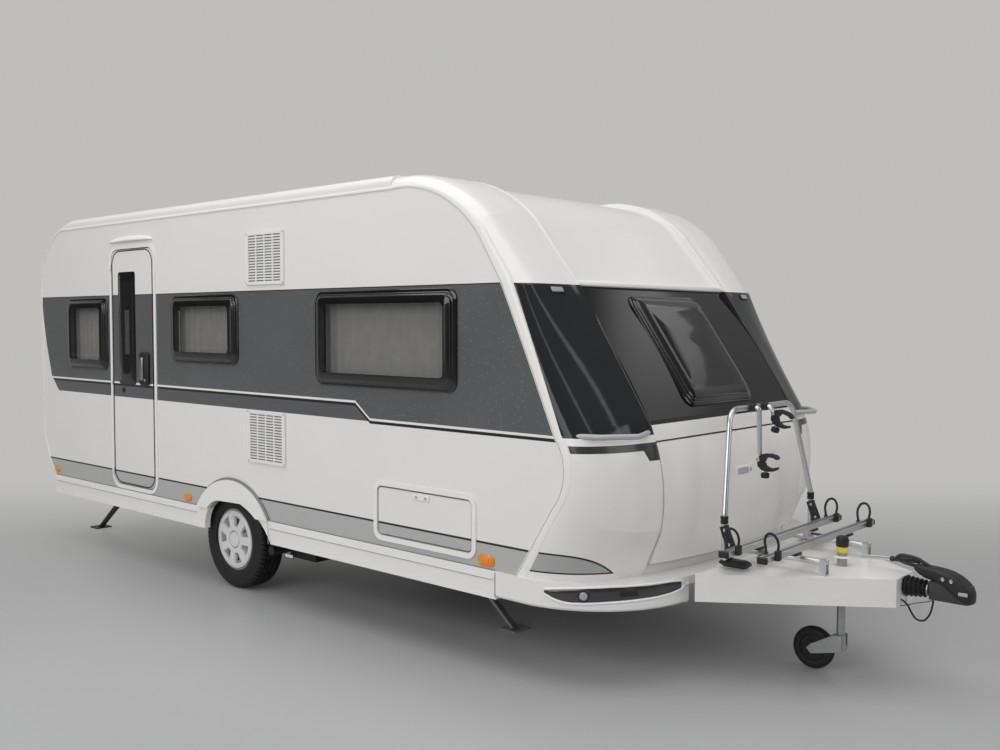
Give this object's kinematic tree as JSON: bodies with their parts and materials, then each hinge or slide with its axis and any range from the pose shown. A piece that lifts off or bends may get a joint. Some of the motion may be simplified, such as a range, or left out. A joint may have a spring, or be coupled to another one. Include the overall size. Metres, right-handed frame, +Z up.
{
  "type": "travel caravan",
  "caption": "Single-axle travel caravan with a door, front locker lid, service flap, ball coupling, jockey wheel, corner steadies and a folding bicycle carrier on its drawbar.",
  "frame": {"origin": "middle of the bounding box on the ground plane", "axes": "+X forward towards the coupling, +Y to the side without a door, +Z up; the door is on the -Y side"},
  "size_m": [6.87, 2.372, 2.601],
  "materials": {
    "shell_white": "gloss",
    "grey_band": "gloss",
    "skirt_white": "satin",
    "window_dark": "gloss",
    "lamp_red": "gloss",
    "lamp_black": "gloss",
    "frame_white": "satin",
    "handle_black": "matte",
    "handle_grey": "satin",
    "floor_ply": "matte",
    "zinc_steel": "satin",
    "mover_black": "satin",
    "tyre_black": "matte",
    "rim_silver": "satin",
    "coupling_steel": "satin",
    "wheel_rubber": "matte",
    "carrier_alloy": "satin",
    "arm_black": "matte",
    "cord_black": "matte",
    "wire_red": "satin"
  },
  "bodies": {
    "caravan": {"side_wall_right": "shell_white", "side_wall_left": "shell_white", "roof_panel": "shell_white", "rear_wall": "shell_white", "rear_bumper": "shell_white", "shoulder_right": "shell_white", "shoulder_left": "shell_white", "lower_corner_right": "shell_white", "lower_corner_left": "shell_white", "front_top_panel": "shell_white", "front_bumper": "shell_white", "drawbar_cover": "shell_white", "grilles": "shell_white", "corner_right": "grey_band", "corner_left": "grey_band", "front_wall": "grey_band", "skirt_right": "skirt_white", "skirt_left": "skirt_white", "windows_right": "window_dark", "windows_left": "window_dark", "rear_window": "window_dark", "front_window": "window_dark", "roof_lights": "window_dark", "tail_lamps": "lamp_red", "front_lamps": "lamp_black", "opening_frames": "frame_white", "brake_lever": "handle_black", "bellows": "handle_black", "grab_handles": "handle_grey", "floor_pan": "floor_ply", "locker_box": "floor_ply", "chassis_frame": "zinc_steel", "axle": "zinc_steel", "jockey_sleeve": "zinc_steel", "mover": "mover_black", "coupling": "coupling_steel", "stabiliser": "coupling_steel", "carrier_posts": "carrier_alloy", "tow_lead": "cord_black", "breakaway_wire": "wire_red"},
    "locker_lid": {"locker_lid": "shell_white"},
    "door": {"door": "shell_white", "door_window": "window_dark", "door_handle": "handle_black"},
    "service_flap": {"service_flap": "shell_white"},
    "wheel_right": {"tyre_right": "tyre_black", "rim_right": "rim_silver"},
    "wheel_left": {"tyre_left": "tyre_black", "rim_left": "rim_silver"},
    "steady_front_right": {"steady_front_right": "zinc_steel"},
    "steady_front_left": {"steady_front_left": "zinc_steel"},
    "steady_rear_right": {"steady_rear_right": "zinc_steel"},
    "steady_rear_left": {"steady_rear_left": "zinc_steel"},
    "jockey_stem": {"jockey_stem": "zinc_steel"},
    "jockey_fork": {"jockey_fork": "zinc_steel"},
    "jockey_wheel": {"jockey_wheel": "wheel_rubber"},
    "carrier": {"carrier_base": "carrier_alloy", "carrier_rails": "carrier_alloy", "carrier_hoop": "carrier_alloy", "carrier_arms": "arm_black"}
  },
  "joints": [
    {"name": "wheel_right_spin", "type": "hinge", "parent": "caravan", "child": "wheel_right", "pos_m": [-0.787, -0.995, 0.318], "axis": [0, 1, 0], "continuous": true},
    {"name": "wheel_left_spin", "type": "hinge", "parent": "caravan", "child": "wheel_left", "pos_m": [-0.787, 0.995, 0.318], "axis": [0, 1, 0], "continuous": true},
    {"name": "door_hinge", "type": "hinge", "parent": "caravan", "child": "door", "pos_m": [-2.1935, -1.164, 1.4], "axis": [0, 0, -1], "range_deg": [0, 105]},
    {"name": "flap_hinge", "type": "hinge", "parent": "caravan", "child": "service_flap", "pos_m": [1.0509, -1.164, 0.5785], "axis": [1, 0, 0], "range_deg": [0, 110]},
    {"name": "lid_hinge", "type": "hinge", "parent": "caravan", "child": "locker_lid", "pos_m": [2.2108, 0, 1.162], "axis": [0, -1, 0], "range_deg": [0, 50]},
    {"name": "carrier_tilt", "type": "hinge", "parent": "caravan", "child": "carrier", "pos_m": [2.833, 0, 0.6], "axis": [0, 1, 0], "range_deg": [0, 100]},
    {"name": "steady_front_right_fold", "type": "hinge", "parent": "caravan", "child": "steady_front_right", "pos_m": [0.761, -0.52, 0.316], "axis": [0, -1, 0], "range_deg": [0, 34]},
    {"name": "steady_front_left_fold", "type": "hinge", "parent": "caravan", "child": "steady_front_left", "pos_m": [0.761, 0.52, 0.316], "axis": [0, -1, 0], "range_deg": [0, 34]},
    {"name": "steady_rear_right_fold", "type": "hinge", "parent": "caravan", "child": "steady_rear_right", "pos_m": [-2.887, -0.71, 0.316], "axis": [0, 1, 0], "range_deg": [0, 34]},
    {"name": "steady_rear_left_fold", "type": "hinge", "parent": "caravan", "child": "steady_rear_left", "pos_m": [-2.887, 0.71, 0.316], "axis": [0, 1, 0], "range_deg": [0, 34]},
    {"name": "jockey_slide", "type": "slide", "parent": "caravan", "child": "jockey_stem", "axis": [0, 0, 1], "range_m": [0, 0.13]},
    {"name": "jockey_swivel", "type": "hinge", "parent": "jockey_stem", "child": "jockey_fork", "pos_m": [2.813, 0, 0.2], "axis": [0, 0, 1], "continuous": true},
    {"name": "jockey_wheel_spin", "type": "hinge", "parent": "jockey_fork", "child": "jockey_wheel", "pos_m": [2.677, 0, 0.105], "axis": [0, 1, 0], "continuous": true}
  ],
  "couplings": [
    {"joint": "carrier_tilt", "follows": "lid_hinge", "ratio": 2}
  ]
}
